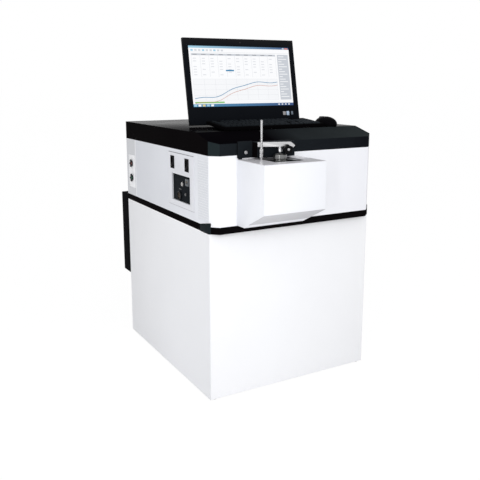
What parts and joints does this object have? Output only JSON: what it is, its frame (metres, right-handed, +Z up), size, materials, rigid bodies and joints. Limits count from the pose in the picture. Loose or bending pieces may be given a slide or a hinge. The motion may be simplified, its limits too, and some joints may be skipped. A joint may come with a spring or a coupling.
{
  "type": "density meter",
  "caption": "Floor-standing density meter: white cabinet and instrument head with a sample stand, clamp arm, rocker switches and connector bay, and a display, keyboard and mouse on its lid.",
  "frame": {"origin": "on the floor, in the middle of the whole object's width and length", "axes": "+Z up, +X towards the object's right as seen from its front, -Y towards its front"},
  "size_m": [0.7345, 1.118, 1.3404],
  "materials": {
    "white_paint": "satin white powder coat",
    "black_paint": "satin black powder coat",
    "black_gloss": "glossy black",
    "zinc_steel": "zinc-plated sheet steel",
    "polished_steel": "turned and polished steel",
    "grey_paint": "satin grey powder coat",
    "grey_gloss": "glossy light grey",
    "black_plastic": "fine-grained black moulding",
    "foot_rubber": "moulded rubber and steel stem",
    "screen": "lit flat screen",
    "board_green": "coated circuit board",
    "cell_alloy": "machined alloy",
    "connector_metal": "nickel-plated connectors"
  },
  "bodies": {
    "console": {"levelling_feet": "foot_rubber", "cabinet_frame": "zinc_steel", "base_plate": "zinc_steel", "cabinet_left_panel": "white_paint", "cabinet_right_panel": "white_paint", "cabinet_front_panel": "white_paint", "cabinet_rear_panel": "white_paint", "rear_duct": "black_paint", "fan_frame": "black_plastic", "mains_inlet": "black_plastic", "power_supply": "cell_alloy", "control_board": "board_green", "head_base": "black_paint", "head_left_panel": "white_paint", "head_right_panel": "white_paint", "head_front_panel": "white_paint", "head_rear_panel": "white_paint", "head_lid": "black_paint", "corner_guards": "black_paint", "connection_plate": "white_paint", "bay_panel": "black_paint", "bay_connectors": "connector_metal", "switch_housings": "black_plastic", "port_plate": "white_paint", "port_fittings": "connector_metal", "stand_housing": "white_paint", "stand_underside": "grey_paint", "stand_top": "grey_gloss", "sample_plate": "black_gloss", "seat_ring": "polished_steel", "measuring_cell": "cell_alloy", "clamp_housing": "black_paint", "clamp_rod": "polished_steel", "fixing_screws": "zinc_steel", "display_foot": "black_plastic", "keyboard_base": "black_plastic"},
    "rod_carriage": {"rod_nuts": "polished_steel"},
    "clamp_arm_unit": {"clamp_arm": "polished_steel", "knob_spindle": "polished_steel"},
    "plunger": {"press_pin": "polished_steel"},
    "knob": {"clamp_knob": "black_plastic"},
    "main_switch": {"main_rocker": "black_plastic"},
    "pump_switch": {"pump_rocker": "black_plastic"},
    "display_head": {"display_bezel": "black_plastic", "display_panel": "screen", "display_rear_cover": "black_plastic"},
    "display_key": {"display_button": "black_plastic"},
    "function_key_set": {"function_keys": "black_plastic"},
    "main_key_set": {"main_keys": "black_plastic"},
    "space_key": {"space_bar": "black_plastic"},
    "side_key_set": {"side_keys": "black_plastic"},
    "leg_left": {"keyboard_leg_left": "black_plastic"},
    "leg_right": {"keyboard_leg_right": "black_plastic"},
    "mouse": {"mouse_base": "black_plastic", "mouse_shell": "black_plastic"},
    "mouse_left": {"mouse_left_button": "black_plastic"},
    "mouse_right": {"mouse_right_button": "black_plastic"},
    "wheel": {"mouse_wheel": "black_plastic"},
    "fan": {"fan_rotor": "black_plastic"}
  },
  "joints": [
    {"name": "rod_height", "type": "slide", "parent": "console", "child": "rod_carriage", "axis": [0, 0, 1], "range_m": [0, 0.06]},
    {"name": "arm_swing", "type": "hinge", "parent": "rod_carriage", "child": "clamp_arm_unit", "pos_m": [-0.1967, -0.431, 0.957], "axis": [0, 0, 1], "range_deg": [-70, 15]},
    {"name": "plunger_slide", "type": "slide", "parent": "clamp_arm_unit", "child": "plunger", "axis": [0, 0, 1], "range_m": [0, 0.005], "stiffness_N_per_m": 800, "springref_m": -0.003},
    {"name": "knob_turn", "type": "hinge", "parent": "clamp_arm_unit", "child": "knob", "pos_m": [-0.1092, -0.45943, 0.9406], "axis": [0.309, 0.9511, 0], "continuous": true},
    {"name": "main_switch_rock", "type": "hinge", "parent": "console", "child": "main_switch", "pos_m": [-0.355, -0.1725, 0.866], "axis": [0, 1, 0], "range_deg": [-16, 0]},
    {"name": "pump_switch_rock", "type": "hinge", "parent": "console", "child": "pump_switch", "pos_m": [-0.355, -0.0425, 0.866], "axis": [0, 1, 0], "range_deg": [-16, 0]},
    {"name": "display_tilt", "type": "hinge", "parent": "console", "child": "display_head", "pos_m": [-0.01495, 0.05131, 1.08592], "axis": [0.9984, -0.0558, 0], "range_deg": [-13, 3]},
    {"name": "display_button_press", "type": "slide", "parent": "display_head", "child": "display_key", "axis": [-0.9984, 0.0558, 0], "range_m": [0, 0.0008], "stiffness_N_per_m": 400, "springref_m": -0.001},
    {"name": "function_keys_press", "type": "slide", "parent": "console", "child": "function_key_set", "axis": [0, -0.0958, 0.9954], "range_m": [-0.002, 0], "stiffness_N_per_m": 600, "springref_m": 0.002},
    {"name": "main_keys_press", "type": "slide", "parent": "console", "child": "main_key_set", "axis": [0, -0.0958, 0.9954], "range_m": [-0.002, 0], "stiffness_N_per_m": 2000, "springref_m": 0.002},
    {"name": "space_bar_press", "type": "slide", "parent": "console", "child": "space_key", "axis": [0, -0.0958, 0.9954], "range_m": [-0.002, 0], "stiffness_N_per_m": 400, "springref_m": 0.002},
    {"name": "side_keys_press", "type": "slide", "parent": "console", "child": "side_key_set", "axis": [0, -0.0958, 0.9954], "range_m": [-0.002, 0], "stiffness_N_per_m": 1000, "springref_m": 0.002},
    {"name": "leg_left_fold", "type": "hinge", "parent": "console", "child": "leg_left", "pos_m": [-0.199, -0.12237, 1.00507], "axis": [1, 0, 0], "range_deg": [0, 90]},
    {"name": "leg_right_fold", "type": "hinge", "parent": "console", "child": "leg_right", "pos_m": [0.161, -0.12237, 1.00507], "axis": [1, 0, 0], "range_deg": [0, 90]},
    {"name": "mouse_slide", "type": "slide", "parent": "console", "child": "mouse", "axis": [1, 0, 0], "range_m": [-0.006, 0.06]},
    {"name": "mouse_left_click", "type": "hinge", "parent": "mouse", "child": "mouse_left", "pos_m": [0.233, -0.194, 1.031], "axis": [1, 0, 0], "range_deg": [-0.9, 0], "stiffness_Nm_per_rad": 1.5, "springref_deg": 0.57},
    {"name": "mouse_right_click", "type": "hinge", "parent": "mouse", "child": "mouse_right", "pos_m": [0.267, -0.194, 1.031], "axis": [1, 0, 0], "range_deg": [-0.9, 0], "stiffness_Nm_per_rad": 1.5, "springref_deg": 0.57},
    {"name": "wheel_spin", "type": "hinge", "parent": "mouse", "child": "wheel", "pos_m": [0.25, -0.175, 1.0195], "axis": [1, 0, 0], "continuous": true},
    {"name": "fan_spin", "type": "hinge", "parent": "console", "child": "fan", "pos_m": [0.18, 0.458, 0.16], "axis": [0, 1, 0], "continuous": true}
  ]
}
